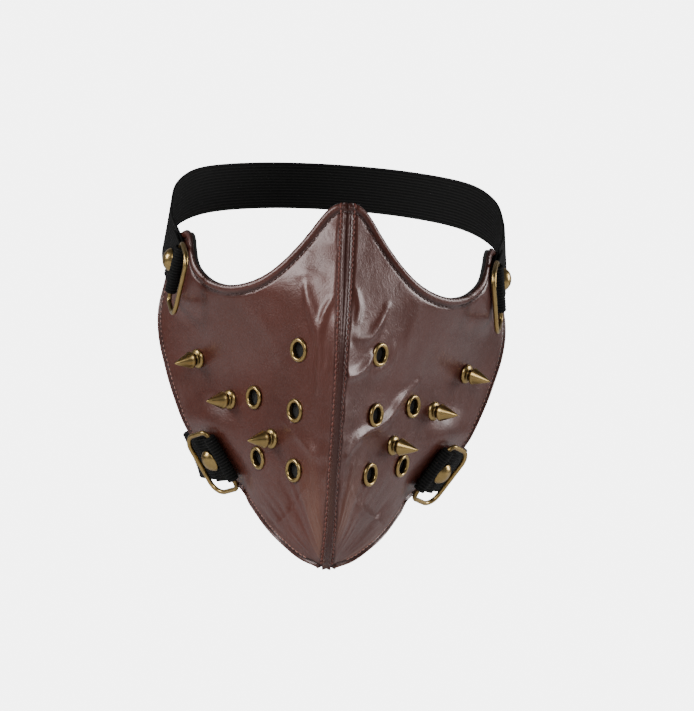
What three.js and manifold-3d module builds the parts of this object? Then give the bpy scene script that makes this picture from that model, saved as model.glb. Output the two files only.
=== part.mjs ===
// A half-face costume mask of two brown leather panels that meet in a centre seam, like the two
// sides of a boat's bow. Each panel has a soft lining, five eyelets, three screwed cone spikes and
// two clasps. A clasp is the end of an elastic strap, folded round the bar of a wire pull ring, and
// a domed stud whose neck holds both layers of the fold. One strap runs round the back of the head
// and one round the neck.
//
// Millimetres, +Z up. The mask faces -Y and +X is to the right of someone looking at its front.
// The origin is the middle of the wearer's head, between the ears and level with the eyes.
// The right half is built first and the left half is its mirror image.

import * as THREE from 'three';
import { mergeVertices } from 'three/addons/utils/BufferGeometryUtils.js';
import Module from 'manifold-3d';

const wasm = await Module();
wasm.setup();

// ---------------------------------------------------------------- driving dimensions

const LEATHER = 1.2; // thickness of the outer panel
const LINING = 1.8; // thickness of the lining
const GAP = 0.3; // space kept between pieces that touch
const REST = 0.5; // height of a collar's foot above the curved leather
const SEAM_HALF_GAP = 0.15; // each half stops this far from the middle plane
const SEAM_OVERRUN = 4; // a panel is drawn this far past the seam before it is cut there

// Depth of the centre seam: [height, depth], from the chin to the bridge of the nose.
const SEAM = [[-160, -88], [-146, -101], [-125, -110], [-100, -114.5], [-75, -117],
  [-50, -117], [-28, -112], [-5, -104], [15, -98]];

// A level cut through a panel leaves the seam at the first angle and reaches the second one
// beside the ear, measured from the X axis: [height, degrees].
const SLOPE_AT_SEAM = [[-160, 48], [-130, 53], [-100, 54], [-70, 53], [-45, 47], [-27, 40],
  [-10, 37], [15, 35]];
const SLOPE_AT_EAR = [[-160, 66], [-140, 71], [-122, 67], [-104, 57], [-90, 53.5], [-70, 53],
  [-45, 61], [-28, 72], [-14, 76], [15, 78]];
// Where that turn begins and ends, as a distance from the seam: [height, distance].
const TURN_BEGINS = [[-160, 10], [-110, 20], [-60, 55], [15, 55]];
const TURN_ENDS = [[-160, 60], [-110, 85], [-60, 120], [15, 120]];
const WALK_STEP = 2; // step of the walk along a level cut

// Edges of the right panel as seen from the front: [half width, height].
const OUTER_EDGE = [[4.5, -159.6], [12, -157], [22, -150], [32, -140.5], [41, -130],
  [49, -123], [57, -118], [63, -111.5], [68, -103.5], [76, -88.5], [82, -73], [86.5, -58],
  [88.3, -44], [86.9, -32], [84.4, -19], [82.2, -8.5], [79.8, -2.5]];
const EYE_EDGE = [[0, 13.4], [4.8, 13.1], [8.6, 10.7], [12.6, 6], [17.5, -1.2], [23.6, -9.2],
  [30.2, -16.4], [36.7, -21.8], [44, -25.6], [52.5, -27.6], [59, -27], [65, -24], [69.2, -18],
  [71.4, -10], [73, -3.5], [75.2, -1], [79.8, -2.5]];
const PRESSED_FLAT = 13; // the leather is flat this far round a stud, where the strap presses
const PRESSED_FADE = 32; // and has its own shape again from here
const ACROSS = 12; // cells of a panel from the seam outwards
const UP = 13; // cells of a panel from the chin upwards
const LINING_INSET = 0.012; // the lining stops this share of a panel inside its edges
const DRILL_LENGTH = 14; // long enough for both layers and both folds of a strap

// Places on the right panel as seen from the front: [half width, height].
const EYELETS = [[18.9, -57], [38.2, -81], [18.9, -85.7], [34.6, -110], [17.8, -114]];
const SPIKES = [[66.5, -64], [49.7, -83], [29, -100]];
const UPPER_STUD = [78.6, -16];
const LOWER_STUD = [54, -111.5];

// Eyelet: a rolled collar on a barrel through the leather. The lining runs on behind it.
const EYELET_BORE = 3.8;
const EYELET_BARREL = 4.3;
const EYELET_COLLAR = 5.8;
const EYELET_HEIGHT = 1.5;

// Spike, from the leather to its tip, and the screw that holds it from behind.
const SPIKE = { base: 4.9, foot: 1.7, neck: 2.7, neckLong: 2.2, collar: 4.1, waist: 4.3,
  length: 14.4, bore: 1.75 };
const SCREW = { shank: 1.4, reach: 5, head: 4, headThick: 1 };

// Stud: a dome on a neck, with a flat rivet head behind the lining.
const STUD = { neck: 2.2, dome: 5.75, under: 4.6, rim: 5.2, top: 8.7, bore: 1.3 };
const RIVET = { shank: 1, reach: 4, head: 4.4, headThick: 0.9 };

// Strap: flat woven elastic, folded round the bar of its ring.
const STRAP = { width: 25, thick: 1.5, above: 0.8, hole: 2.8, layerGap: 0.4, tail: 8.5 };
const BAR_BACK = 10.6; // distance of the ring's bar from the stud
const LOOP = 2.3; // radius of the strap's middle layer round the bar
const TAIL_RISES_AT = -6.6; // the upper layer's cut end lifts a little beyond the stud
const TAIL_RISE = 0.35;
const LOOP_STARTS = 55; // degrees above the strap's run where the upper layer meets that fold

// Ring: a wire loop that is longer than it is deep.
const RING = { wire: 1.2, length: 35, depth: 20.9, barCorner: 3.4, freeCorner: 7 };
const RING_SLIDE = 1; // how far each ring has slid down its strap
const UPPER_RING_ANGLE = 178; // degrees from the strap's run: the ring lies forwards
const LOWER_RING_ANGLE = 12; // the ring lies back round its stud
const UPPER_BAR_LEAN = -28; // degrees that the bar leans from upright, along the leather
const LOWER_BAR_LEAN = 8;

// Route of each strap's middle line from its right clasp to the middle of the back.
const UPPER_ROUTE = [[85.4, -4, -4.5], [86, 11, 3.5], [83, 36, 15], [70, 66, 25], [40, 89, 31],
  [0, 97, 33]];
const LOWER_ROUTE = [[65.3, -7, -113.5], [66, 9, -113], [62, 34, -112], [49, 56, -111],
  [26, 71, -110], [0, 75, -110]];
const STRAP_STEPS = 36; // steps of a strap between its two folds

// ---------------------------------------------------------------- curves

/** Smooth value at x of a table of [x, value] pairs in rising x. */
function valueAt(table, x) {
  let i = 1;
  while (i < table.length - 1 && x > table[i][0]) i += 1;
  const slope = (j) => {
    const before = table[Math.max(j - 1, 0)];
    const after = table[Math.min(j + 1, table.length - 1)];
    return (after[1] - before[1]) / (after[0] - before[0]);
  };
  const [x0, y0] = table[i - 1];
  const [x1, y1] = table[i];
  const t = (x - x0) / (x1 - x0);
  const rise = y0 + (3 - 2 * t) * t * t * (y1 - y0);
  const bend = (1 - t) * slope(i - 1) - t * slope(i);
  return rise + t * (1 - t) * bend * (x1 - x0);
}

/** Direction, in radians from the X axis, of the level cut at a distance from the seam. */
function slopeAt(along, height) {
  const begins = valueAt(TURN_BEGINS, height);
  const ends = valueAt(TURN_ENDS, height);
  const turned = THREE.MathUtils.smoothstep(along, begins, ends);
  const degrees = THREE.MathUtils.lerp(
    valueAt(SLOPE_AT_SEAM, height), valueAt(SLOPE_AT_EAR, height), turned);
  return THREE.MathUtils.degToRad(degrees);
}

/** Walks along the level cut at a height until stop(x, along) says so. */
function walk(height, stop) {
  const point = new THREE.Vector3(0, valueAt(SEAM, height), height);
  let along = 0;
  for (;;) {
    const slope = slopeAt(along + WALK_STEP / 2, height);
    const step = Math.min(WALK_STEP, stop(point.x, along, slope));
    point.x += Math.cos(slope) * step;
    point.y += Math.sin(slope) * step;
    along += step;
    if (step < WALK_STEP) return { point, along };
  }
}

/** Point of the unpressed face at a distance from the seam. */
function onCurve(along, height) {
  return walk(height, (x, done) => along - done).point;
}

/** Distance from the seam of the face's point with a given half width. */
function alongTo(halfWidth, height) {
  return walk(height, (x, done, slope) => (halfWidth - x) / Math.cos(slope)).along;
}

/** Outward unit normal of a surface given as a function of distance from the seam and height. */
function normalOf(surface, along, height) {
  const reach = 0.5;
  const across = surface(along + reach, height).sub(surface(along - reach, height));
  const up = surface(along, height + reach).sub(surface(along, height - reach));
  return across.cross(up).normalize();
}

const pressedSpots = [UPPER_STUD, LOWER_STUD].map(([halfWidth, height]) => {
  const along = alongTo(halfWidth, height);
  return { middle: onCurve(along, height), out: normalOf(onCurve, along, height) };
});

/** Point of the leather's outer face, which is pressed flat round each stud. */
function onFace(along, height) {
  const point = onCurve(along, height);
  for (const { middle, out } of pressedSpots) {
    const offset = point.clone().sub(middle);
    const rise = offset.dot(out);
    const away = offset.addScaledVector(out, -rise).length();
    const share = 1 - THREE.MathUtils.smoothstep(away, PRESSED_FLAT, PRESSED_FADE);
    point.addScaledVector(out, -rise * share);
  }
  return point;
}

const normalAt = (along, height) => normalOf(onFace, along, height);

// ---------------------------------------------------------------- solids

/** Geometry from a list of points and a list of corner indices. */
function geometryOf(points, corners) {
  const geometry = new THREE.BufferGeometry();
  const flat = points.flatMap((p) => [p.x, p.y, p.z]);
  geometry.setAttribute('position', new THREE.Float32BufferAttribute(flat, 3));
  geometry.setIndex(corners);
  return geometry;
}

/** The same shape with positions only and shared corners. */
function welded(geometry) {
  const bare = geometry.clone();
  bare.deleteAttribute('normal');
  bare.deleteAttribute('uv');
  return mergeVertices(bare, 1e-4);
}

function toSolid(geometry) {
  const bare = welded(geometry);
  return new wasm.Manifold(new wasm.Mesh({
    numProp: 3,
    vertProperties: new Float32Array(bare.attributes.position.array),
    triVerts: new Uint32Array(bare.index.array),
  }));
}

/** A geometry less a list of cutting geometries. */
function cut(geometry, cutters) {
  let solid = toSolid(geometry);
  for (const cutter of cutters) solid = solid.subtract(toSolid(cutter));
  const mesh = solid.getMesh();
  const result = new THREE.BufferGeometry();
  result.setAttribute('position', new THREE.Float32BufferAttribute(mesh.vertProperties, 3));
  result.setIndex(Array.from(mesh.triVerts));
  return result;
}

/** Solid of revolution about +Z from [radius, height] pairs that run outside from low to high. */
function turned(profile, sides = 10) {
  const points = profile.map(([radius, height]) => new THREE.Vector2(radius, height));
  return new THREE.LatheGeometry(points, sides).rotateX(Math.PI / 2);
}

/** Corner indices of a strip of rings of corners, each joined to the next. */
function loftCorners(rings, sides, closed) {
  const corners = [];
  const last = closed ? rings : rings - 1;
  for (let i = 0; i < last; i += 1) {
    for (let j = 0; j < sides; j += 1) {
      const a = i * sides + j;
      const b = i * sides + (j + 1) % sides;
      const c = ((i + 1) % rings) * sides + (j + 1) % sides;
      const d = ((i + 1) % rings) * sides + j;
      corners.push(a, b, c, a, c, d);
    }
  }
  return corners;
}

// ---------------------------------------------------------------- panels

/** Smooth line through edge points, as [distance from the seam, height]. */
function edgeLine(edge, start = []) {
  const points = edge.map(([x, z]) => new THREE.Vector3(alongTo(x, z), z, 0));
  const curve = new THREE.CatmullRomCurve3([...start, ...points], false, 'centripetal');
  curve.arcLengthDivisions = 400;
  return curve;
}

const chin = new THREE.Vector3(-SEAM_OVERRUN, SEAM[0][0], 0);
const bridge = new THREE.Vector3(-SEAM_OVERRUN, EYE_EDGE[0][1], 0);
const outerLine = edgeLine(OUTER_EDGE);
const eyeLine = edgeLine(EYE_EDGE, [bridge]);
const seamLine = new THREE.LineCurve3(chin, bridge);

/** Place on the flat pattern for a share of the way out and a share of the way up. */
function onPattern(out, up) {
  const side = seamLine.getPointAt(up).lerp(outerLine.getPointAt(up), out);
  const straight = seamLine.getPointAt(1).lerp(outerLine.getPointAt(1), out);
  const dip = eyeLine.getPointAt(out).sub(straight).multiplyScalar(up * up);
  return side.add(dip);
}

/** Point at a depth below the leather's face. */
function below(place, depth) {
  return onFace(place.x, place.y).addScaledVector(normalAt(place.x, place.y), -depth);
}

/** Closed shell of the right half between two depths below the leather's face. */
function shell(top, bottom, inset) {
  const points = [];
  const stride = ACROSS + 1;
  for (const depth of [top, bottom]) {
    for (let j = 0; j <= UP; j += 1) {
      for (let i = 0; i <= ACROSS; i += 1) {
        const out = Math.min(i / ACROSS, 1 - inset);
        const up = THREE.MathUtils.clamp(j / UP, inset, 1 - inset);
        points.push(below(onPattern(out, up), depth));
      }
    }
  }
  const layer = stride * (UP + 1);
  const corners = [];
  const quad = (a, b, c, d) => corners.push(a, b, c, a, c, d);
  for (let j = 0; j < UP; j += 1) {
    for (let i = 0; i < ACROSS; i += 1) {
      const a = j * stride + i;
      quad(a, a + 1, a + 1 + stride, a + stride);
      quad(a + layer, a + layer + stride, a + layer + 1 + stride, a + layer + 1);
    }
    const left = j * stride;
    const right = left + ACROSS;
    quad(left, left + stride, left + stride + layer, left + layer);
    quad(right, right + layer, right + layer + stride, right + stride);
  }
  for (let i = 0; i < ACROSS; i += 1) {
    const top1 = UP * stride + i;
    quad(i, i + layer, i + 1 + layer, i + 1);
    quad(top1, top1 + 1, top1 + 1 + layer, top1 + layer);
  }
  return geometryOf(points, corners);
}

/** Matrix of a place on the leather: Z out of the face, and Y leaning from upright. */
function seat([halfWidth, height], lean = 0) {
  const along = alongTo(halfWidth, height);
  const out = normalAt(along, height);
  const across = new THREE.Vector3(0, 0, 1).cross(out).normalize();
  const frame = new THREE.Matrix4().makeBasis(across, out.clone().cross(across), out);
  frame.multiply(new THREE.Matrix4().makeRotationZ(THREE.MathUtils.degToRad(-lean)));
  return frame.setPosition(onFace(along, height));
}

/** Drill for a hole round a piece of a given radius, through both layers at a seat. */
function drill(pieceRadius, frame) {
  const sides = 8;
  const corner = (pieceRadius + GAP) / Math.cos(Math.PI / sides);
  return new THREE.CylinderGeometry(corner, corner, DRILL_LENGTH, sides)
    .rotateX(Math.PI / 2).applyMatrix4(frame);
}

const upperSeat = seat(UPPER_STUD, UPPER_BAR_LEAN);
const lowerSeat = seat(LOWER_STUD, LOWER_BAR_LEAN);

/** What is cut from both layers of the right half: the posts' holes, and all beyond the seam. */
function layerCutters() {
  const size = 400;
  const beyondSeam = new THREE.BoxGeometry(size, size, size)
    .translate(SEAM_HALF_GAP - size / 2, 0, 0);
  return [
    beyondSeam,
    ...SPIKES.map((place) => drill(SCREW.shank, seat(place))),
    drill(STUD.neck, upperSeat),
    drill(STUD.neck, lowerSeat),
  ];
}

// ---------------------------------------------------------------- small metal pieces

const BACK = -(LEATHER + GAP + LINING); // inner face of the lining, from the leather's face

function eyelet() {
  const end = -(LEATHER + GAP / 2);
  return turned([[EYELET_BORE, end], [EYELET_BARREL, end], [EYELET_BARREL, REST],
    [EYELET_COLLAR - 0.2, REST], [EYELET_COLLAR, REST + 0.4], [EYELET_COLLAR - 0.6, EYELET_HEIGHT],
    [EYELET_BORE + 0.5, EYELET_HEIGHT], [EYELET_BORE, REST + 0.3], [EYELET_BORE, end]], 12);
}

function spike() {
  const s = SPIKE;
  const neckTop = s.foot + s.neckLong;
  const boreTop = s.neck + 3;
  return turned([[0, boreTop + 0.2], [s.bore, boreTop], [s.bore, REST], [s.base - 0.2, REST],
    [s.base, REST + 0.5], [s.base - 0.5, s.foot], [s.neck + 0.1, s.foot + 0.4], [s.neck, neckTop],
    [s.collar, neckTop + 0.3], [s.waist, neckTop + 1.1], [s.waist * 0.62, s.length * 0.64],
    [0.3, s.length - 0.25], [0, s.length]]);
}

function spikeScrew() {
  const head = BACK - GAP;
  return turned([[0, head - SCREW.headThick], [SCREW.head, head - SCREW.headThick],
    [SCREW.head, head], [SCREW.shank, head], [SCREW.shank, SCREW.reach], [0, SCREW.reach]]);
}

function stud() {
  const s = STUD;
  const foot = BACK - GAP / 2;
  return turned([[0, s.under], [s.bore, s.under], [s.bore, foot], [s.neck, foot],
    [s.neck, s.under], [s.dome - 0.3, s.under], [s.dome, s.rim], [s.dome * 0.9, s.rim + 1.2],
    [s.dome * 0.66, s.rim + 2.4], [s.dome * 0.34, s.top - 0.25], [0, s.top]]);
}

function studRivet() {
  const head = BACK - GAP * 1.5;
  return turned([[0, head - RIVET.headThick], [RIVET.head, head - RIVET.headThick],
    [RIVET.head, head], [RIVET.shank, head], [RIVET.shank, RIVET.reach], [0, RIVET.reach]]);
}

// ---------------------------------------------------------------- rings

/** Corners of the ring's wire line in its own plane: X away from the bar, Y along the bar. */
function ringLine() {
  const half = RING.length / 2 - RING.wire;
  const depth = RING.depth - 2 * RING.wire;
  const path = new THREE.Path();
  path.moveTo(0, -half + RING.barCorner);
  path.lineTo(0, half - RING.barCorner);
  path.absarc(RING.barCorner, half - RING.barCorner, RING.barCorner, Math.PI, Math.PI / 2, true);
  path.absarc(depth - RING.freeCorner, half - RING.freeCorner, RING.freeCorner,
    Math.PI / 2, 0, true);
  path.absarc(depth - RING.freeCorner, -half + RING.freeCorner, RING.freeCorner,
    0, -Math.PI / 2, true);
  path.absarc(RING.barCorner, -half + RING.barCorner, RING.barCorner,
    -Math.PI / 2, -Math.PI, true);
  const points = path.getPoints(3);
  return points.filter((p, i) => i === 0 || p.distanceTo(points[i - 1]) > 0.01).slice(0, -1);
}

/** Closed round wire along a flat loop of points. */
function wireRing() {
  const sides = 6;
  const line = ringLine();
  const points = line.flatMap((p, i) => {
    const before = line[(i + line.length - 1) % line.length];
    const after = line[(i + 1) % line.length];
    const ahead = after.clone().sub(before).normalize();
    return Array.from({ length: sides }, (_, k) => {
      const turn = k / sides * 2 * Math.PI;
      const across = Math.cos(turn) * RING.wire;
      return new THREE.Vector3(p.x - ahead.y * across, p.y + ahead.x * across,
        Math.sin(turn) * RING.wire);
    });
  });
  return geometryOf(points, loftCorners(line.length, sides, true));
}

// ---------------------------------------------------------------- straps

const BAR_HEIGHT = STRAP.above + STRAP.thick / 2 + LOOP; // bar's middle above the leather

/** The upper layer, the fold round the bar and the lower layer, in a clasp's own X and Z. */
function foldLine() {
  const lower = BAR_HEIGHT - LOOP;
  const upper = lower + STRAP.thick + STRAP.layerGap;
  const line = [STRAP.tail, 4, 0, -5].map((x) => new THREE.Vector3(x, 0, upper));
  line.push(new THREE.Vector3(TAIL_RISES_AT, 0, upper + TAIL_RISE));
  const steps = 7;
  for (let i = 0; i <= steps; i += 1) {
    const turn = THREE.MathUtils.degToRad(THREE.MathUtils.lerp(LOOP_STARTS, 270, i / steps));
    line.push(new THREE.Vector3(-BAR_BACK + LOOP * Math.cos(turn), 0,
      BAR_HEIGHT + LOOP * Math.sin(turn)));
  }
  for (const x of [-6, -2, 2, 6]) line.push(new THREE.Vector3(x, 0, lower));
  return line;
}

/** Mirror image across the middle plane. */
const mirrored = (v) => new THREE.Vector3(-v.x, v.y, v.z);

/** Middle line and width directions of a strap, from its right fold to its left one. */
function strapLine(frame, route) {
  const width = new THREE.Vector3().setFromMatrixColumn(frame, 1);
  const fold = foldLine().map((p) => p.applyMatrix4(frame));
  const start = fold[fold.length - 1];
  const away = start.clone().sub(fold[fold.length - 2]).setLength(4).add(start);
  const side = [start, away, ...route.slice(0, -1).map((p) => new THREE.Vector3(...p))];
  const middle = new THREE.Vector3(...route[route.length - 1]);
  const curve = new THREE.CatmullRomCurve3(
    [...side, middle, ...side.map(mirrored).reverse()], false, 'centripetal');
  const line = [...fold];
  const widths = fold.map(() => width);
  for (let i = 1; i < STRAP_STEPS; i += 1) {
    const share = i / STRAP_STEPS;
    const upright = THREE.MathUtils.smoothstep(Math.min(share, 1 - share), 0, 0.3);
    const near = share < 0.5 ? width : mirrored(width);
    line.push(curve.getPointAt(share));
    widths.push(near.clone().lerp(new THREE.Vector3(0, 0, 1), upright));
  }
  line.push(...fold.map(mirrored).reverse());
  widths.push(...fold.map(() => mirrored(width)));
  return { line, widths };
}

/** Flat band along a line of points with a width direction at each. */
function band(line, widths) {
  const points = [];
  line.forEach((p, i) => {
    const before = line[Math.max(i - 1, 0)];
    const after = line[Math.min(i + 1, line.length - 1)];
    const ahead = after.clone().sub(before).normalize();
    const across = widths[i].clone().addScaledVector(ahead, -widths[i].dot(ahead)).normalize();
    const out = ahead.clone().cross(across);
    for (const [w, t] of [[-1, -1], [1, -1], [1, 1], [-1, 1]]) {
      points.push(p.clone().addScaledVector(across, w * STRAP.width / 2)
        .addScaledVector(out, t * STRAP.thick / 2));
    }
  });
  const corners = loftCorners(line.length, 4, false);
  const end = (line.length - 1) * 4;
  corners.push(0, 2, 1, 0, 3, 2, end, end + 1, end + 2, end, end + 2, end + 3);
  return geometryOf(points, corners);
}

/** The mirror image of a geometry, with its faces still pointing out. */
function mirrorOf(geometry) {
  const image = geometry.clone().scale(-1, 1, 1);
  const corners = image.index.array;
  for (let i = 0; i < corners.length; i += 3) {
    [corners[i], corners[i + 1]] = [corners[i + 1], corners[i]];
  }
  return image;
}

/** A whole strap with a buttonhole for each stud's neck. */
function strap(frame, route) {
  const { line, widths } = strapLine(frame, route);
  const buttonhole = new THREE.CylinderGeometry(STRAP.hole, STRAP.hole, DRILL_LENGTH, 12)
    .rotateX(Math.PI / 2).applyMatrix4(frame);
  return cut(band(line, widths), [buttonhole, mirrorOf(buttonhole)]);
}

// ---------------------------------------------------------------- assembly

const leather = () => new THREE.MeshStandardMaterial({ color: 0x4b2a26, roughness: 0.42 });
const fleece = () => new THREE.MeshStandardMaterial({ color: 0x141315, roughness: 0.95 });
const elastic = () => new THREE.MeshStandardMaterial({ color: 0x17171a, roughness: 0.8 });
const brass = () => new THREE.MeshStandardMaterial({
  color: 0x8f6f3a, roughness: 0.35, metalness: 1 });

function named(name, geometry, material) {
  const mesh = new THREE.Mesh(geometry, material);
  mesh.name = name;
  return mesh;
}

/** A group of pieces placed by a matrix. */
function placed(frame, ...meshes) {
  const group = new THREE.Group();
  group.applyMatrix4(frame);
  group.add(...meshes);
  return group;
}

/** Stud, rivet and ring of one clasp. */
function clasp(name, side, frame, ringAngle) {
  const hinge = new THREE.Matrix4()
    .makeTranslation(-BAR_BACK, -RING_SLIDE, BAR_HEIGHT)
    .multiply(new THREE.Matrix4().makeRotationY(-THREE.MathUtils.degToRad(ringAngle)));
  return placed(frame,
    named(`${name}_stud_${side}`, stud(), brass()),
    named(`${name}_stud_rivet_${side}`, studRivet(), brass()),
    placed(hinge, named(`${name}_ring_${side}`, wireRing(), brass())));
}

/** Every piece of one half of the mask, built on the right side. */
function half(side) {
  const group = new THREE.Group();
  const cutters = layerCutters();
  const holes = EYELETS.map((place) => drill(EYELET_BARREL, seat(place)));
  group.add(named(`leather_panel_${side}`,
    cut(shell(0, LEATHER, 0), [...cutters, ...holes]), leather()));
  const liningShell = shell(LEATHER + GAP, LEATHER + GAP + LINING, LINING_INSET);
  group.add(named(`lining_${side}`, cut(liningShell, cutters), fleece()));
  EYELETS.forEach((place, i) => group.add(placed(seat(place),
    named(`eyelet_${side}_${i + 1}`, eyelet(), brass()))));
  SPIKES.forEach((place, i) => group.add(placed(seat(place),
    named(`spike_${side}_${i + 1}`, spike(), brass()),
    named(`spike_screw_${side}_${i + 1}`, spikeScrew(), brass()))));
  group.add(clasp('upper', side, upperSeat, UPPER_RING_ANGLE));
  group.add(clasp('lower', side, lowerSeat, LOWER_RING_ANGLE));
  return group;
}

const mask = new THREE.Group();
const leftHalf = half('left');
leftHalf.scale.x = -1;
mask.add(half('right'), leftHalf);
mask.add(named('upper_strap', strap(upperSeat, UPPER_ROUTE), elastic()));
mask.add(named('lower_strap', strap(lowerSeat, LOWER_ROUTE), elastic()));

export default mask;
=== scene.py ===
"""Looks of a half-face costume mask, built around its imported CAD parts.

Two leather panels meet in a centre seam. Each has a turned and stitched hem, a fleece lining, five
eyelets, three cone spikes and two clasps with a domed stud, a folded elastic strap and a wire ring.
Lengths are in millimetres until a mesh is made. +Z is up and the mask faces -Y. The right half, at
+X, is worked out first and the left half is its mirror image, apart from its creases.
"""

import math

import bmesh
import bpy
import numpy as np
from mathutils import Matrix


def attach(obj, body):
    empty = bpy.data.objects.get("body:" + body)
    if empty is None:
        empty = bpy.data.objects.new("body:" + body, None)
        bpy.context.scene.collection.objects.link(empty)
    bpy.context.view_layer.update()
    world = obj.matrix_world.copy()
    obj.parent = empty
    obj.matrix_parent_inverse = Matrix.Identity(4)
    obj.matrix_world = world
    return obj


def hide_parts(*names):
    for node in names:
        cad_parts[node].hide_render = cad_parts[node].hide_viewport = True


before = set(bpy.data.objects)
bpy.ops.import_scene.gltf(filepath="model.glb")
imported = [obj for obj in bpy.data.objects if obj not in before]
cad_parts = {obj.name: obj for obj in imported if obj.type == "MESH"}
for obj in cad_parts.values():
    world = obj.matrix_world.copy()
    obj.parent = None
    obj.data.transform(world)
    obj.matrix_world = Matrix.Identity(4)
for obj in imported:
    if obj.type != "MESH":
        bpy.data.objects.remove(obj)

bl_info = {
    "name": "Half-face costume mask",
    "version": (1, 0, 0),
    "blender": (4, 5, 0),
    "location": "View3D > Sidebar > Mask",
    "description": "Builds the pieces of a leather half-face mask with brass hardware",
    "category": "Add Mesh",
}

MM = 0.001
ROOT = "mask"
SIDES = {"right": 1, "left": -1}

# ------------------------------------------------------------------ shape of the face

# Depth of the centre seam by height, and the slope of a level cut at the seam and at the ear.
SEAM = [(-160, -88), (-146, -101), (-125, -110), (-100, -114.5), (-75, -117), (-50, -117),
        (-28, -112), (-5, -104), (15, -98)]
SLOPE_AT_SEAM = [(-160, 48), (-130, 53), (-100, 54), (-70, 53), (-45, 47), (-27, 40), (-10, 37),
                 (15, 35)]
SLOPE_AT_EAR = [(-160, 66), (-140, 71), (-122, 67), (-104, 57), (-90, 53.5), (-70, 53), (-45, 61),
                (-28, 72), (-14, 76), (15, 78)]
TURN_BEGINS = [(-160, 10), (-110, 20), (-60, 55), (15, 55)]
TURN_ENDS = [(-160, 60), (-110, 85), (-60, 120), (15, 120)]

# Edges of the right panel as (half width, height).
OUTER_EDGE = [(4.5, -159.6), (12, -157), (22, -150), (32, -140.5), (41, -130), (49, -123),
              (57, -118), (63, -111.5), (68, -103.5), (76, -88.5), (82, -73), (86.5, -58),
              (88.3, -44), (86.9, -32), (84.4, -19), (82.2, -8.5), (79.8, -2.5)]
EYE_EDGE = [(0.15, 13.4), (4.8, 13.1), (8.6, 10.7), (12.6, 6), (17.5, -1.2), (23.6, -9.2),
            (30.2, -16.4), (36.7, -21.8), (44, -25.6), (52.5, -27.6), (59, -27), (65, -24),
            (69.2, -18), (71.4, -10), (73, -3.5), (75.2, -1), (79.8, -2.5)]
CHIN = -160
BRIDGE = 13.4
SEAM_GAP = 0.25
MIDDLE_CLEARANCE = 0.15
LEATHER = 1.2
LINING = 1.8
GAP = 0.3
BACK = -(LEATHER + GAP + LINING)

# Places as (half width, height).
EYELETS = [(18.9, -57), (38.2, -81), (18.9, -85.7), (34.6, -110), (17.8, -114)]
SPIKES = [(66.5, -64), (49.7, -83), (29, -100)]
CLASPS = {"upper": (78.6, -16), "lower": (54, -111.5)}
LEAN = {"upper": -28, "lower": 8}
EYELET_HOLE = 4.9
# The leather is flat this far round a stud and has its own shape again from the second distance.
PRESSED = (13, 32)

# Distances of the stitch rows from the middle plane and from the edges of the panels.
SEAM_ROW = 4.2
SEAM_SPACING = 2.7
HEM_ROW = 4.6
OUTER_ROW = 2.5
RIM_ROW = 0.75
ROW_POINTS = 160
STITCH_LIFT = 0.08
# A place well inside the right panel, and the usual size of a panel laid flat.
PATTERN_MIDDLE = np.array([45.0, -70.0])
PATTERN_WIDTH = 104
PATTERN_HEIGHT = 175


def smoothstep(value, low, high):
    """Smooth rise from 0 at low to 1 at high."""
    share = np.clip((value - low) / (high - low), 0, 1)
    return share * share * (3 - 2 * share)


def table_value(table, x):
    """Smooth value at x of a table of (x, value) pairs in rising x."""
    xs, ys = np.array(table, float).T
    slopes = np.r_[(ys[1] - ys[0]) / (xs[1] - xs[0]),
                   (ys[2:] - ys[:-2]) / (xs[2:] - xs[:-2]),
                   (ys[-1] - ys[-2]) / (xs[-1] - xs[-2])]
    i = np.clip(np.searchsorted(xs, x), 1, len(xs) - 1)
    width = xs[i] - xs[i - 1]
    t = (x - xs[i - 1]) / width
    rise = ys[i - 1] + (3 - 2 * t) * t * t * (ys[i] - ys[i - 1])
    return rise + t * (1 - t) * ((1 - t) * slopes[i - 1] - t * slopes[i]) * width


def on_curve(along, height):
    """Points of the unpressed face at distances from the seam and heights."""
    along = np.asarray(along, float)
    height = np.asarray(height, float)
    at_seam = table_value(SLOPE_AT_SEAM, height)
    at_ear = table_value(SLOPE_AT_EAR, height)
    begins = table_value(TURN_BEGINS, height)
    ends = table_value(TURN_ENDS, height)
    steps = 48
    x = np.zeros_like(along)
    y = table_value(SEAM, height)
    for step in range(steps):
        reached = along * (step + 0.5) / steps
        turned = smoothstep(reached, begins, ends)
        slope = np.radians(at_seam + (at_ear - at_seam) * turned)
        x = x + np.cos(slope) * along / steps
        y = y + np.sin(slope) * along / steps
    return np.stack([x, y, height + 0 * x], -1)


def along_to(half_width, height):
    """Distance from the seam of the face's points with given half widths."""
    half_width = np.asarray(half_width, float)
    guessed_share = 0.65
    step_share = 0.7
    rounds = 12
    along = half_width / guessed_share
    for _ in range(rounds):
        x = on_curve(along, height)[..., 0]
        along = along + (half_width - x) / step_share
    return along


def unit(vectors):
    """The same vectors with length 1."""
    return vectors / np.linalg.norm(vectors, axis=-1, keepdims=True)


def normal_of(surface, along, height):
    """Outward normals of a surface given as a function of distance from the seam and height."""
    reach = 0.5
    across = surface(along + reach, height) - surface(along - reach, height)
    up = surface(along, height + reach) - surface(along, height - reach)
    return unit(np.cross(across, up))


def pressed_spots():
    """Middle and normal of each place where a strap presses the leather flat."""
    spots = []
    for half_width, height in CLASPS.values():
        along = along_to(half_width, height)
        spots.append((on_curve(along, height), normal_of(on_curve, along, height)))
    return spots


SPOTS = pressed_spots()


def on_face(along, height):
    """Points of the leather's smooth outer face."""
    points = on_curve(along, height)
    for middle, out in SPOTS:
        offset = points - middle
        rise = offset @ out
        away = np.linalg.norm(offset - rise[..., None] * out, axis=-1)
        share = 1 - smoothstep(away, *PRESSED)
        points = points - (rise * share)[..., None] * out
    return points


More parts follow.
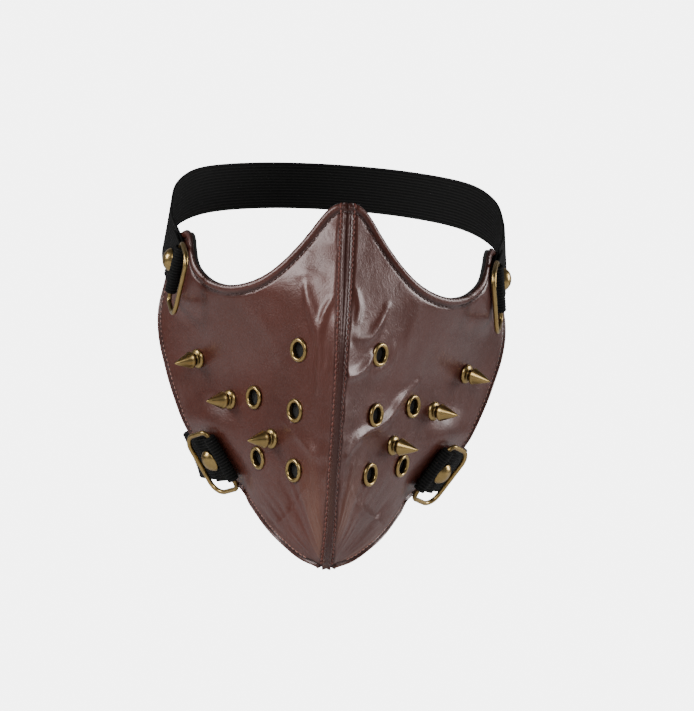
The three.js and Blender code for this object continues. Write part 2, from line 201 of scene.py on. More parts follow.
def normal_at(along, height):
    """Outward normals of the leather's smooth outer face."""
    return normal_of(on_face, along, height)


def smooth_line(points, per_span=24):
    """Dense centripetal curve through points of any dimension."""
    points = np.array(points, float)
    padded = np.vstack([2 * points[0] - points[1], points, 2 * points[-1] - points[-2]])
    line = []
    for a, b, c, d in zip(padded, padded[1:], padded[2:], padded[3:]):
        ab, bc, cd = (np.linalg.norm(q - p) ** 0.5 for p, q in ((a, b), (b, c), (c, d)))
        leaving = ((b - a) / ab - (c - a) / (ab + bc) + (c - b) / bc) * bc
        arriving = ((c - b) / bc - (d - b) / (bc + cd) + (d - c) / cd) * bc
        t = np.linspace(0, 1, per_span, endpoint=False)[:, None]
        line.append(b + leaving * t + (3 * (c - b) - 2 * leaving - arriving) * t ** 2
                    + (2 * (b - c) + leaving + arriving) * t ** 3)
    return np.vstack([*line, points[-1:]])


def distances(line):
    """Distance along a line of points at each of them."""
    steps = np.linalg.norm(np.diff(line, axis=0), axis=1)
    return np.r_[0, np.cumsum(steps)]


def at_share(line, share):
    """Points of a dense line at shares of its length."""
    length = distances(line)
    share = np.asarray(share) * length[-1]
    return np.stack([np.interp(share, length, column) for column in line.T], -1)


def pattern_line(edge):
    """Dense line through edge places as (distance from the seam, height)."""
    edge = np.array(edge, float)
    return smooth_line(np.stack([along_to(edge[:, 0], edge[:, 1]), edge[:, 1]], -1))


OUTER_LINE = pattern_line(OUTER_EDGE)
EYE_LINE = pattern_line(EYE_EDGE)
SEAM_LINE = np.array([(SEAM_GAP, CHIN), (SEAM_GAP, BRIDGE)], float)
OUTER_POINTS = on_face(*OUTER_LINE.T)
EYE_POINTS = on_face(*EYE_LINE.T)


def on_pattern(out, up):
    """Places as (distance from the seam, height) for shares of the way out and up."""
    inner = at_share(SEAM_LINE, up)
    side = inner + (at_share(OUTER_LINE, up) - inner) * out[..., None]
    first, last = SEAM_LINE[-1], OUTER_LINE[-1]
    straight = first + (last - first) * out[..., None]
    return side + (at_share(EYE_LINE, out) - straight) * (up * up)[..., None]


def away_from(points, line):
    """Distance of each point from a dense line of points."""
    flat = points.reshape(-1, 3)
    best = np.full(len(flat), np.inf)
    batch = 40
    for start in range(0, len(line), batch):
        gaps = flat[:, None] - line[None, start:start + batch]
        best = np.minimum(best, np.linalg.norm(gaps, axis=2).min(1))
    return best.reshape(points.shape[:-1])


def lattice_noise(x, y, seed):
    """Smooth noise from -1 to 1 with features about one unit across."""
    size = 64
    lattice = np.random.default_rng(seed).uniform(-1, 1, (size, size))
    i, j = np.floor(x).astype(int), np.floor(y).astype(int)
    u, v = x - i, y - j
    u, v = u * u * (3 - 2 * u), v * v * (3 - 2 * v)
    corner = lambda a, b: lattice[(i + a) % size, (j + b) % size]
    low = corner(0, 0) * (1 - u) + corner(1, 0) * u
    high = corner(0, 1) * (1 - u) + corner(1, 1) * u
    return low * (1 - v) + high * v


# Creases as ((half width, height) places along the ridge, its half width, its rise).
FOLDS = {
    "left": [([(17.5, -26), (15.5, -34), (12.5, -43), (10.2, -53)], 3.4, 1.15),
             ([(5.0, -32), (8.2, -40), (9.6, -50)], 2.2, 1.1),
             ([(9.8, -51), (9.2, -62), (9.6, -76)], 2.6, 0.9),
             ([(22, -22), (16, -21), (10, -24)], 3.0, 0.4),
             ([(24, -90), (17, -98), (7.5, -107)], 3.4, 0.7),
             ([(44, -38), (34, -48), (28, -62)], 6.5, 0.55),
             ([(12, -122), (18, -134), (24, -142)], 2.6, 0.5)],
    "right": [([(5.5, -28), (7.2, -36), (6.4, -43)], 2.2, 1.0),
              ([(21.5, -33), (18, -41), (13, -49), (6, -50)], 2.6, 1.15),
              ([(15.5, -57), (12.2, -63), (7.5, -67), (2.9, -68.5)], 2.3, 1.25),
              ([(26, -52), (24, -61), (17, -66)], 2.8, 0.6),
              ([(40, -69), (31.5, -78.5), (24.5, -88), (11, -97), (5.0, -106)], 2.8, 1.0),
              ([(37, -36), (33.5, -46), (32.5, -56)], 5.0, 0.6),
              ([(57, -38), (52, -50), (50, -62)], 6.0, 0.4),
              ([(9, -122), (16, -131), (26, -138)], 2.4, 0.6)],
}
# How far the ridges wander and over what length, and how wide, sharp and high they stand.
FOLD = {"seed": 5, "wander": 0.9, "length": 9, "width": 0.85, "sharpness": 1.6, "height": 1.25}

CREASE_SEED = 20
# Creases that fan out from the chin: rays to a radian, length, shift of the seed, rise.
FANS = [(9, 40, 0, 0.7), (23, 25, 7, 0.22)]
FAN_GROWS = (8, 28)
FAN_FADES = (48, 82)
# Slack of the leather: size across, size up, shift of the seed, rise.
SLACKS = [(22, 26, 4, 0.5), (8, 11, 5, 0.14)]
SLACK_GROWS = (4, 16)
# Puckers beside the seam.
PUCKER = {"up": 5.5, "across": 16, "shift": 2, "rise": 0.512, "reach": 8}
# All of them begin at the first distance from a hem or a stud and are whole at the second.
CALM_AT_HEM = (3, 9)
CALM_AT_STUD = (14, 26)


def folds_at(along, height, side):
    """Rise of the leather's larger creases."""
    place = np.stack([along, height], -1)
    seed = FOLD["seed"] + SIDES[side]
    wander = lattice_noise(along / FOLD["length"], height / FOLD["length"], seed) * FOLD["wander"]
    total = np.zeros(np.shape(along))
    for ridge, width, rise in FOLDS[side]:
        line = pattern_line(ridge)
        gaps = np.linalg.norm(place[..., None, :] - line, axis=-1)
        nearest = gaps.argmin(-1)
        share = nearest / (len(line) - 1)
        away = gaps.min(-1)
        beyond = np.where((share == 0) | (share == 1), away / width, 0)
        taper = np.sqrt(np.clip(np.sin(np.pi * (0.08 + 0.84 * share)), 0, 1))
        near = np.abs(away + wander) / (width * FOLD["width"])
        crest = np.exp(-near ** FOLD["sharpness"] - beyond)
        total = total + rise * FOLD["height"] * crest * taper
    return total


def creases_at(along, height, side):
    """Rise of the fine creases that fan out from the chin and of the puckers at the seam."""
    seed = CREASE_SEED + SIDES[side]
    away = np.hypot(along, height - CHIN)
    angle = np.arctan2(along, height - CHIN)
    window = smoothstep(away, *FAN_GROWS) * (1 - smoothstep(away, *FAN_FADES))
    fan = sum(lattice_noise(angle * rays, away / length, seed + shift) * rise
              for rays, length, shift, rise in FANS)
    pucker = lattice_noise(height / PUCKER["up"], along / PUCKER["across"], seed + PUCKER["shift"])
    begins = smoothstep(along, SEAM_ROW - 0.6, SEAM_ROW + 2)
    beside = PUCKER["rise"] * begins * np.exp(-(along - SEAM_ROW) / PUCKER["reach"])
    slack = sum(lattice_noise(along / across, height / up, seed + shift) * rise
                for across, up, shift, rise in SLACKS)
    return fan * window + pucker * beside + slack * smoothstep(along, *SLACK_GROWS)


def groove(away, row, depth):
    """Rise near a row of stitches that is pulled in by a depth."""
    width = 0.75
    return -depth * np.exp(-((away - row) / width) ** 2)


def rounded(away, width, drop):
    """Rise of an edge that is rounded off over a width."""
    rest = np.clip(1 - away / width, 0, 1)
    return -drop * (1 - np.sqrt(1 - rest ** 2))


def hem_profile(away, row):
    """Rise of a turned hem at distances from its edge, with its stitch row pulled in."""
    puff = 0.8 * np.clip(np.sin(np.pi * np.clip(away / row, 0, 1)), 0, 1)
    return puff + groove(away, row, 0.6) + rounded(away, 0.9, 0.55)


def seam_profile(away, height):
    """Rise of the centre seam's ridge at distances from the middle plane, with its puckers."""
    uneven = 1.3 * lattice_noise(height / 11, away / 20, 31)
    pull = 0.5 + 0.5 * np.cos(2 * np.pi * height / SEAM_SPACING + uneven)
    crest, width = 1.8, 0.9
    ridge = (0.2 + pull) * np.exp(-((away - crest) / width) ** 2)
    return ridge + groove(away, SEAM_ROW, 0.75) + rounded(away - SEAM_GAP, 1.0, 1.2)


def relief(along, height, side):
    """Rise of the leather above its smooth face."""
    base = on_face(along, height)
    to_eye = away_from(base, EYE_POINTS)
    to_outer = away_from(base, OUTER_POINTS)
    hems = hem_profile(to_eye, HEM_ROW) + hem_profile(to_outer, OUTER_ROW)
    free = smoothstep(np.minimum(to_eye, to_outer), *CALM_AT_HEM)
    for middle, _ in SPOTS:
        free = free * smoothstep(np.linalg.norm(base - middle, axis=-1), *CALM_AT_STUD)
    loose = (folds_at(along, height, side) + creases_at(along, height, side)) * free
    return hems + seam_profile(along, height) + loose, base


def skin(along, height, side, lift):
    """Points lifted off the right half's leather and its relief, and their normals."""
    rise, base = relief(along, height, side)
    out = normal_at(along, height)
    return base + out * (rise + lift)[..., None], out


def seat(place, lean=0):
    """Axes and origin of a place on the leather, as columns: across, up, out, origin."""
    half_width, height = place
    along = along_to(half_width, height)
    out = normal_at(along, height)
    across = unit(np.cross((0, 0, 1), out))
    up = np.cross(out, across)
    turn = math.radians(lean)
    across, up = (across * math.cos(turn) - up * math.sin(turn),
                  across * math.sin(turn) + up * math.cos(turn))
    return np.stack([across, up, out, on_face(along, np.float64(height))])


def seated(points, base):
    """Points in a seat's own axes, moved to the frame."""
    return points @ base[:3] + base[3]


# ------------------------------------------------------------------ meshes


def mirrored(points, side):
    """Points of the right half, moved to the half that is asked for."""
    return points * (SIDES[side], 1, 1)


def mesh_object(name, points, faces, material, attributes=None):
    """A smooth mesh object from points in millimetres, with doubles merged and normals out."""
    merge_distance = 2e-6
    mesh = bpy.data.meshes.new(name)
    mesh.from_pydata((np.asarray(points) * MM).tolist(), [], [list(f) for f in faces])
    for key, values in (attributes or {}).items():
        layer = mesh.attributes.new(key, "FLOAT", "POINT")
        layer.data.foreach_set("value", np.asarray(values, np.float32).ravel())
    work = bmesh.new()
    work.from_mesh(mesh)
    bmesh.ops.remove_doubles(work, verts=work.verts, dist=merge_distance)
    bmesh.ops.recalc_face_normals(work, faces=work.faces)
    work.to_mesh(mesh)
    work.free()
    mesh.shade_smooth()
    mesh.materials.append(material)
    obj = bpy.data.objects.new(name, mesh)
    bpy.context.scene.collection.objects.link(obj)
    return obj


def grid_faces(rows, columns, start=0, around=False):
    """Quads of a grid of points that is stored row by row."""
    faces = []
    last = columns if around else columns - 1
    for j in range(rows - 1):
        for i in range(last):
            a = start + j * columns + i
            b = start + j * columns + (i + 1) % columns
            faces.append((a, b, b + columns, a + columns))
    return faces


def softened(points, radius, steps=4):
    """A line of points with each corner rounded off."""
    points = np.array(points, float)
    almost_half = 0.48
    line = [points[0]]
    for before, corner, after in zip(points, points[1:], points[2:]):
        arriving, leaving = corner - before, after - corner
        reach_in = min(radius, almost_half * np.linalg.norm(arriving))
        reach_out = min(radius, almost_half * np.linalg.norm(leaving))
        first = corner - unit(arriving) * reach_in
        last = corner + unit(leaving) * reach_out
        for t in np.linspace(0, 1, steps + 1):
            line.append((1 - t) ** 2 * first + 2 * t * (1 - t) * corner + t * t * last)
    line.append(points[-1])
    return np.array(line)


def lathe(profile, sides=56):
    """Points and faces of a solid of revolution about Z from (radius, height) rows."""
    turn = np.arange(sides) / sides * 2 * np.pi
    radius, height = profile[:, :1], profile[:, 1:]
    points = np.stack([radius * np.cos(turn), radius * np.sin(turn), height + 0 * turn], -1)
    return points.reshape(-1, 3), grid_faces(len(profile), sides, around=True)


def tube(line, radius, sides=20):
    """Points and faces of a closed round wire along a flat loop in X and Y."""
    ahead = unit(np.roll(line, -1, 0) - np.roll(line, 1, 0))
    aside = np.stack([-ahead[:, 1], ahead[:, 0]], -1)
    turn = np.arange(sides) / sides * 2 * np.pi
    flat = line[:, None] + aside[:, None] * (np.cos(turn) * radius)[None, :, None]
    rise = np.broadcast_to(np.sin(turn) * radius, flat.shape[:2])
    points = np.concatenate([flat, rise[..., None]], -1)
    faces = grid_faces(len(line) + 1, sides, around=True)
    faces = [tuple(k % (len(line) * sides) for k in face) for face in faces]
    return points.reshape(-1, 3), faces


# ------------------------------------------------------------------ node trees


class Value:
    """An output socket that takes part in arithmetic by adding Math nodes to its tree."""

    def __init__(self, graph, socket):
        self.graph = graph
        self.socket = socket

    def math(self, operation, first, second=0.0):
        return self.graph.node("ShaderNodeMath", {0: first, 1: second}, operation=operation)

    def __add__(self, other):
        return self.math("ADD", self, other)

    def __sub__(self, other):
        return self.math("SUBTRACT", self, other)

    def __rsub__(self, other):
        return self.math("SUBTRACT", other, self)

    def __mul__(self, other):
        return self.math("MULTIPLY", self, other)

    def __pow__(self, other):
        return self.math("POWER", self, other)

    def __neg__(self):
        return self.math("MULTIPLY", self, -1.0)

    def __abs__(self):
        return self.math("ABSOLUTE", self)


class Graph:
    """A node tree that is being built."""

    def __init__(self, tree):
        self.tree = tree

    def feed(self, socket, value):
        """Links a value to an input socket, or sets the socket to a constant."""
        if isinstance(value, Value):
            self.tree.links.new(value.socket, socket)
        else:
            socket.default_value = value

    def node(self, kind, inputs=None, output=0, **settings):
        """Adds any node and returns one of its outputs."""
        node = self.tree.nodes.new(kind)
        for key, value in settings.items():
            setattr(node, key, value)
        for key, value in (inputs or {}).items():
            self.feed(node.inputs[key], value)
        return Value(self, node.outputs[output])


class Shader(Graph):
    """A material's tree, with the few patterns that the finishes share."""

    def __init__(self, name):
        self.material = bpy.data.materials.new(name)
        self.material.use_nodes = True
        super().__init__(self.material.node_tree)
        self.surface = self.tree.nodes["Principled BSDF"]
        self.place = self.node("ShaderNodeTexCoord", output="Object")

    def noise(self, size, detail=2.0, roughness=0.5, distortion=0.0):
        """Noise with features of about the given size in millimetres."""
        return self.node("ShaderNodeTexNoise", {
            "Vector": self.place, "Scale": 1 / (size * MM), "Detail": detail,
            "Roughness": roughness, "Distortion": distortion}, output="Fac")

    def cells(self, size):
        """Cell pattern with cells of about the given size in millimetres."""
        return self.node("ShaderNodeTexVoronoi", {
            "Vector": self.place, "Scale": 1 / (size * MM)}, output="Distance")

    def attribute(self, name):
        return self.node("ShaderNodeAttribute", output="Fac", attribute_name=name)

    def ramp(self, value, low, high, to_low=0.0, to_high=1.0):
        """Clamped straight-line change of a value."""
        return self.node("ShaderNodeMapRange", {
            0: value, 1: low, 2: high, 3: to_low, 4: to_high})

    def mix(self, share, first, second):
        """Colour between two colours."""
        return self.node("ShaderNodeMix", {0: share, 6: first, 7: second}, output=2,
                         data_type="RGBA")

    def bump(self, height, depth, below=None):
        """Normal for a height pattern whose full range is the given depth in millimetres."""
        inputs = {"Height": height, "Distance": depth * MM, "Strength": 1.0}
        if below is not None:
            inputs["Normal"] = below
        return self.node("ShaderNodeBump", inputs, output="Normal")

    def set(self, **values):
        """Feeds the surface's sockets, with underscores for the spaces in their names."""
        for key, value in values.items():
            self.feed(self.surface.inputs[key.replace("_", " ")], value)


def settings():
    """The properties of the scene's mask."""
    return bpy.context.scene.mask_settings


def colour(red, green, blue):
    return (red, green, blue, 1.0)


def leather_material():
    shader = Shader("brown_leather")
    props = settings()
    tone = shader.noise(38, detail=3.0, roughness=0.55)
    tint = shader.mix(shader.ramp(tone, 0.35, 0.65), tuple(props.leather_dark),
                      tuple(props.leather_light))
    # Painted reflection: lighter warm streaks that fan out from the chin.
    chin_reflected = shader.mix(shader.attribute("chin"), tint, tuple(props.leather_chin_reflection))
    # Darker along the cut edges, and painted shade along the stitch rows and in the seam's channel.
    dark_edge_and_shade = shader.mix(shader.attribute("edge") * 0.9, chin_reflected, colour(0.010, 0.003, 0.0025))
    grain = shader.cells(0.75) * 0.6 + shader.noise(0.45, detail=2.0) * 0.4
    wrinkle = shader.noise(9, detail=4.0, roughness=0.62, distortion=1.4)
    ridged = 1.0 - abs(wrinkle - 0.5) * 2.0
    fine = shader.bump(grain, 0.06)
    shader.set(Base_Color=dark_edge_and_shade,
               Roughness=shader.ramp(shader.noise(14, detail=3.0), 0.3, 0.7, 0.33, 0.40),
               Normal=shader.bump(ridged ** 3.0, 0.075, below=fine))
    shader.set(Coat_Weight=0.22, Coat_Roughness=0.22, Coat_Tint=colour(1.0, 0.92, 0.90),
               Specular_IOR_Level=0.45, Specular_Tint=colour(1.0, 0.80, 0.78))
    return shader.material


def fleece_material():
    shader = Shader("black_fleece")
    pile = shader.noise(0.6, detail=3.0, roughness=0.7)
    tint = shader.mix(shader.noise(5, detail=3.0), colour(0.003, 0.003, 0.003),
                      colour(0.007, 0.0065, 0.006))
    shader.set(Base_Color=tint, Normal=shader.bump(pile, 0.25), Roughness=0.95, Sheen_Weight=0.08)
    return shader.material


def elastic_material():
    shader = Shader("black_elastic")
    weave = shader.noise(0.35, detail=2.0, roughness=0.7)
    # Painted shade and light: darker in the grooves between the ribs, lighter on their crests.
    tint = shader.mix(shader.attribute("rib"), colour(0.002, 0.002, 0.002),
                      colour(0.012, 0.0115, 0.011))
    shader.set(Base_Color=tint, Normal=shader.bump(weave, 0.09), Roughness=0.75,
               Specular_IOR_Level=0.12)
    return shader.material


def thread_material(name="red_thread", dark=colour(0.075, 0.018, 0.012),
                    light=colour(0.19, 0.055, 0.038)):
    shader = Shader(name)
    tint = shader.mix(shader.noise(3.0, detail=1.0), dark, light)
    shader.set(Base_Color=tint, Normal=shader.bump(shader.noise(0.25), 0.05), Roughness=0.55)
    return shader.material


def pale_thread_material():
    return thread_material("pale_thread", colour(0.16, 0.065, 0.052), colour(0.42, 0.21, 0.17))


# Nearly black thread for the eye's hem. It is dark thread, and its darkness also stands for painted
# shade in the needle holes.
def dark_thread_material():
    return thread_material("dark_thread", colour(0.022, 0.006, 0.005), colour(0.06, 0.018, 0.013))


def brass_material():
    shader = Shader("aged_brass")
    props = settings()
    # The recess attribute is painted shade: darker in the spikes' necks and feet, under the studs'
    # domes, low on the eyelets and on the rings' bars inside the straps. The screw and rivet backs
    # take an even share of it.
    recess_shade = shader.attribute("recess")
    cloud = shader.noise(1.6, detail=3.0, roughness=0.6)
    # Painted shade in the recesses, mixed with random mottled dirt.
    grime_and_shade = shader.ramp(recess_shade + (cloud - 0.5) * 0.7, 0.25, 0.95)
    metal = shader.mix(shader.noise(4.5, detail=2.0), tuple(props.brass_dark),
                       tuple(props.brass_light))
    tint = shader.mix(grime_and_shade, metal, colour(0.035, 0.022, 0.012))
    shader.set(Base_Color=tint,
               Roughness=shader.ramp(grime_and_shade + cloud * 0.4, 0.1, 1.2, 0.27, 0.55),
               Normal=shader.bump(shader.noise(0.9, detail=2.0), 0.035), Metallic=1.0)
    return shader.material


MAKERS = {"brown_leather": leather_material, "black_fleece": fleece_material,
          "black_elastic": elastic_material, "red_thread": thread_material,
          "pale_thread": pale_thread_material, "dark_thread": dark_thread_material,
          "aged_brass": brass_material}


def finish_of(name):
    """The material of that name, made when it is first asked for."""
    return bpy.data.materials.get(name) or MAKERS[name]()


# ------------------------------------------------------------------ panels


def panel_shares(props):
    """Shares of the way out and up at which a panel's points lie, closest at its edges."""
    near = np.array([0, 0.12, 0.3, 0.55, 0.9, 1.35, 1.9, 2.5, 3.1, 3.7, 4.3, 4.9, 5.6, 6.5, 7.6])
    out_near, up_near = near / PATTERN_WIDTH, near / PATTERN_HEIGHT
    out_margin, up_margin = 0.085, 0.05
    out_inner = np.linspace(out_margin, 1 - out_margin, props.cells_out, endpoint=False)
    up_inner = np.linspace(up_margin, 1 - up_margin, props.cells_up, endpoint=False)
    out = np.r_[out_near, out_inner, 1 - out_near[::-1]]
    up = np.r_[up_near, up_inner, 1 - up_near[::-1]]
    return np.unique(out), np.unique(up)


def holed_shell(top, bottom, keep):
    """Points and faces of a closed shell between two grids, less the cells that aren't kept."""
    rows, columns = keep.shape
    stride = columns + 1
    layer = stride * (rows + 1)
    points = np.concatenate([top.reshape(-1, 3), bottom.reshape(-1, 3)])
    faces = []
    padded = np.pad(keep, 1)
    for j in range(rows):
        for i in range(columns):
            if not keep[j, i]:
                continue
            a = j * stride + i
            b, c, d = a + 1, a + 1 + stride, a + stride
            faces.append((a, b, c, d))
            faces.append((a + layer, d + layer, c + layer, b + layer))
            walls = (((a, b), (j, i + 1)), ((b, c), (j + 1, i + 2)), ((c, d), (j + 2, i + 1)),
                     ((d, a), (j + 1, i)))
            for (p, q), beyond in walls:
                if not padded[beyond]:
                    faces.append((q, p, p + layer, q + layer))
    return points, faces


def open_cells(points, radius):
    """Which cells of a grid of points lie outside every eyelet's barrel."""
    middle = (points[1:, 1:] + points[:-1, 1:] + points[1:, :-1] + points[:-1, :-1]) / 4
    keep = np.ones(middle.shape[:2], bool)
    half_depth = 6
    for place in EYELETS:
        across, up, out, origin = seat(place)
        offset = middle - origin
        aside = np.hypot(offset @ across, offset @ up)
        keep &= ~((aside < radius) & (np.abs(offset @ out) < half_depth))
    return keep


def at_own_side(points):
    """The same points, held on their own side of the middle plane."""
    return np.concatenate([np.maximum(points[..., :1], MIDDLE_CLEARANCE), points[..., 1:]], -1)


# The painted reflection at the chin, lighter warm streaks, fades out between these distances from
# it.
CHIN_FADES = (18, 72)


def row_shade(base, along):
    """How deep each point lies in the painted shade of a row of stitches or of the seam's channel,
    from 0 to 1.
    """
    rows = (np.abs(along - SEAM_ROW), np.abs(away_from(base, EYE_POINTS) - HEM_ROW),
            np.abs(away_from(base, OUTER_POINTS) - OUTER_ROW))
    channel_shade, channel_width, row_width = 0.55, 4.4, 0.85
    channel = channel_shade * np.exp(-(along / channel_width) ** 4)
    return np.maximum(np.exp(-(np.minimum.reduce(rows) / row_width) ** 2), channel)


def build_panel(side, props):
    """One leather panel with its hems, seam ridge and creases."""
    out, up = panel_shares(props)
    place = on_pattern(*np.meshgrid(out, up))
    along, height = place[..., 0], place[..., 1]
    rise, base = relief(along, height, side)
    normal = normal_at(along, height)
    top = base + normal * rise[..., None]
    edge = np.minimum(away_from(base, EYE_POINTS), away_from(base, OUTER_POINTS))
    lip = 0.4 * np.clip(1 - edge / 0.9, 0, 1) ** 2
    depth = -LEATHER + np.clip(rise, -0.3, 3) * smoothstep(edge, 0, 3) + lip
    bottom = at_own_side(base + normal * depth[..., None])
    points, faces = holed_shell(top, bottom, open_cells(base, EYELET_HOLE))
    # Painted reflection: lighter warm streaks that fan out from the chin.
    from_chin = np.hypot(along, height - CHIN)
    rays, length = FANS[0][:2]
    streak = lattice_noise(np.arctan2(along, height - CHIN) * rays, from_chin / length,
                           CREASE_SEED + SIDES[side])
    chin = (1 - smoothstep(from_chin, *CHIN_FADES)) * np.clip(0.2 + 1.1 * streak, 0, 1)
    # Darker along the cut edges, with the painted shade of the stitch rows and the seam's channel.
    hem = np.clip(1 - smoothstep(edge, 0.2, 1.0) + row_shade(base, along), 0, 1)
    attributes = {"chin": np.concatenate([chin.ravel()] * 2),
                  "edge": np.concatenate([hem.ravel()] * 2)}
    return mesh_object(f"panel_{side}", mirrored(points, side), faces, finish_of("brown_leather"),
                       attributes)


def build_lining(side):
    """The fleece lining behind one panel, which stops a share of its size inside the edges."""
    inset_out, inset_up = 0.010, 0.006
    columns, rows = 72, 120
    out = np.linspace(0, 1 - inset_out, columns)
    up = np.linspace(inset_up, 1 - inset_up, rows)
    place = on_pattern(*np.meshgrid(out, up))
    along, height = place[..., 0], place[..., 1]
    base, normal = on_face(along, height), normal_at(along, height)
    tuft, tuft_height, seed, gap = 2.2, 0.12, 3, 0.12
    fluff = lattice_noise(along / tuft, height / tuft, seed) * tuft_height
    top = at_own_side(base - normal * (LEATHER + gap))
    bottom = at_own_side(base + normal * (BACK + fluff)[..., None])
    whole = np.ones((rows - 1, columns - 1), bool)
    points, faces = holed_shell(top, bottom, whole)
    return mesh_object(f"fleece_{side}", mirrored(points, side), faces, finish_of("black_fleece"))


# ------------------------------------------------------------------ stitching


def stitch_tree():
    """Geometry Nodes tree that lays bent stitches along a line of points."""
    tree = bpy.data.node_groups.new("stitch_row", "GeometryNodeTree")
    graph = Graph(tree)
    tree.interface.new_socket("Geometry", in_out="INPUT", socket_type="NodeSocketGeometry")
    for name, kind, value in (("Spacing", "NodeSocketFloat", 0.003),
                              ("Length", "NodeSocketFloat", 0.0024),
                              ("Thickness", "NodeSocketFloat", 0.0003),
                              ("Seed", "NodeSocketInt", 1),
                              ("Material", "NodeSocketMaterial", None)):
        socket = tree.interface.new_socket(name, in_out="INPUT", socket_type=kind)
        if value is not None:
            socket.default_value = value
    tree.interface.new_socket("Geometry", in_out="OUTPUT", socket_type="NodeSocketGeometry")
    source = tree.nodes.new("NodeGroupInput")
    given = {socket.name: Value(graph, socket) for socket in source.outputs if socket.name}
    curve = graph.node("GeometryNodeMeshToCurve", {0: given["Geometry"]})
    row = graph.node("GeometryNodeResampleCurve", {
        "Curve": curve, "Length": given["Spacing"]}, mode="LENGTH")
    half = given["Length"] * 0.5
    low = given["Thickness"] * -0.9
    high = given["Thickness"] * 1.5
    point = lambda x, z: graph.node("ShaderNodeCombineXYZ", {0: x, 1: 0.0, 2: z})
    arch = graph.node("GeometryNodeCurveQuadraticBezier", {
        "Resolution": 6, "Start": point(-half, low), "Middle": point(0.0, high),
        "End": point(half, low)})
    circle = graph.node("GeometryNodeCurvePrimitiveCircle", {
        "Resolution": 8, "Radius": given["Thickness"]}, mode="RADIUS")
    stitch = graph.node("GeometryNodeCurveToMesh", {
        "Curve": arch, "Profile Curve": circle, "Fill Caps": True})
    out = graph.node("GeometryNodeInputNamedAttribute", {"Name": "out"}, data_type="FLOAT_VECTOR")
    ahead = graph.node("GeometryNodeInputTangent")
    turn = graph.node("FunctionNodeAxesToRotation", {0: out, 1: ahead},
                      primary_axis="Z", secondary_axis="X")
    tilt, swing = 0.05, 0.13
    sway = graph.node("FunctionNodeRandomValue", {
        0: (-tilt, -tilt, -swing), 1: (tilt, tilt, swing), "Seed": given["Seed"]},
        data_type="FLOAT_VECTOR")
    turned = graph.node("FunctionNodeRotateRotation", {0: turn, 1: sway}, rotation_space="LOCAL")
    placed = graph.node("GeometryNodeInstanceOnPoints", {
        "Points": row, "Instance": stitch, "Rotation": turned})
    real = graph.node("GeometryNodeRealizeInstances", {0: placed})
    painted = graph.node("GeometryNodeSetMaterial", {
        "Geometry": real, "Material": given["Material"]})
    sink = tree.nodes.new("NodeGroupOutput")
    graph.feed(sink.inputs[0], painted)
    return tree


def stitch_row(name, line, out, spacing, length, thickness, seed, thread):
    """A row of stitches along points, as a plain mesh object."""
    mesh = bpy.data.meshes.new(name)
    edges = [(i, i + 1) for i in range(len(line) - 1)]
    mesh.from_pydata((line * MM).tolist(), edges, [])
    layer = mesh.attributes.new("out", "FLOAT_VECTOR", "POINT")
    layer.data.foreach_set("vector", out.astype(np.float32).ravel())
    carrier = bpy.data.objects.new(name, mesh)
    bpy.context.scene.collection.objects.link(carrier)
    tree = bpy.data.node_groups.get("stitch_row") or stitch_tree()
    modifier = carrier.modifiers.new("stitches", "NODES")
    modifier.node_group = tree
    values = {"Spacing": spacing * MM, "Length": length * MM, "Thickness": thickness * MM,
              "Seed": seed, "Material": finish_of(thread)}
    for item in tree.interface.items_tree:
        if item.in_out == "INPUT" and item.name in values:
            modifier[item.identifier] = values[item.name]
    bpy.context.view_layer.update()
    graph = bpy.context.evaluated_depsgraph_get()
    laid = bpy.data.meshes.new_from_object(carrier.evaluated_get(graph))
    if not len(laid.polygons):
        raise RuntimeError(f"{name}: no stitches were laid")
    carrier.modifiers.clear()
    carrier.data = laid
    laid.shade_smooth()
    return carrier


def inset_line(line, distance, first, last):
    """Places inside an edge at a distance from it, between two shares of its length."""
    middle = at_share(line, np.linspace(first, last, ROW_POINTS))
    ahead = unit(np.gradient(middle, axis=0))
    aside = np.stack([-ahead[:, 1], ahead[:, 0]], -1)
    halfway = ROW_POINTS // 2
    if np.sum((PATTERN_MIDDLE - middle[halfway]) * aside[halfway]) < 0:
        aside = -aside
    return middle + aside * distance


def build_stitching(side, props):
    """Every row of stitches on one panel."""
    from_chin, from_bridge, count = 2.5, 1.5, 220
    heights = np.linspace(CHIN + from_chin, BRIDGE - from_bridge, count)
    beside_seam = np.stack([np.full(count, SEAM_ROW), heights], -1)
    # Each row's name, places, spacing, and its stitches' length, radius and thread.
    rows = [
        ("seam", beside_seam, SEAM_SPACING, props.stitch_length / MM, props.thread_radius / MM,
         "red_thread"),
        ("eye", inset_line(EYE_LINE, HEM_ROW, 0.02, 0.965), 2.9, 2.2, 0.42,
         "dark_thread"),
        ("rim", inset_line(EYE_LINE, RIM_ROW, 0.03, 0.97), 2.0, 1.1, 0.16,
         "dark_thread"),
        ("outer", inset_line(OUTER_LINE, OUTER_ROW, 0.04, 0.975), 2.5, 1.7, 0.3,
         "pale_thread"),
    ]
    made = []
    for number, (name, place, spacing, length, thickness, thread) in enumerate(rows):
        points, out = skin(place[:, 0], place[:, 1], side, STITCH_LIFT)
        made.append(stitch_row(f"{name}_stitches_{side}", mirrored(points, side),
                               mirrored(out, side), spacing, length, thickness,
                               props.seed + number, thread))
    return made


# ------------------------------------------------------------------ metal pieces


def build_turned(name, side, base, profile, recess, sides=56):
    """A brass piece of revolution on a seat."""
    points, faces = lathe(profile, sides)
    dark = np.repeat(recess, sides)
    return mesh_object(name, mirrored(seated(points, base), side), faces, finish_of("aged_brass"),
                       {"recess": dark})


